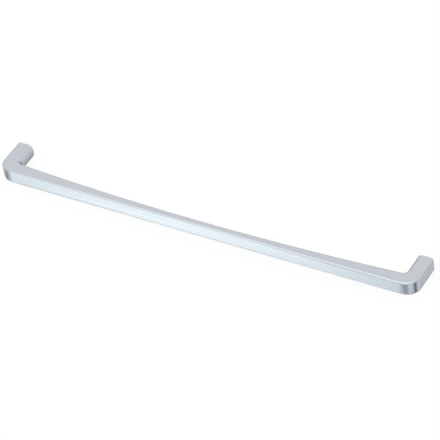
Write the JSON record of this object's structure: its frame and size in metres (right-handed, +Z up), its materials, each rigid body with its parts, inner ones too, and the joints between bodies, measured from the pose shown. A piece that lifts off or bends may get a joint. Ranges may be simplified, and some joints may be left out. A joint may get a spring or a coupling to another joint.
{
  "type": "cabinet handle",
  "caption": "Long cabinet pull with a flat front, a bowed and rounded back, round corners and flat feet tapped for screws from behind a door or drawer front.",
  "frame": {"origin": "midway between the screw holes, on the mounting plane that both feet touch", "axes": "+X along the bar, +Y out of the feet into the door, +Z up; the front face is at -Y"},
  "size_m": [0.332, 0.03, 0.0116],
  "materials": {
    "satin_chrome": "satin, brushed along the length"
  },
  "bodies": {
    "root": {"handle": "satin_chrome"}
  },
  "joints": []
}
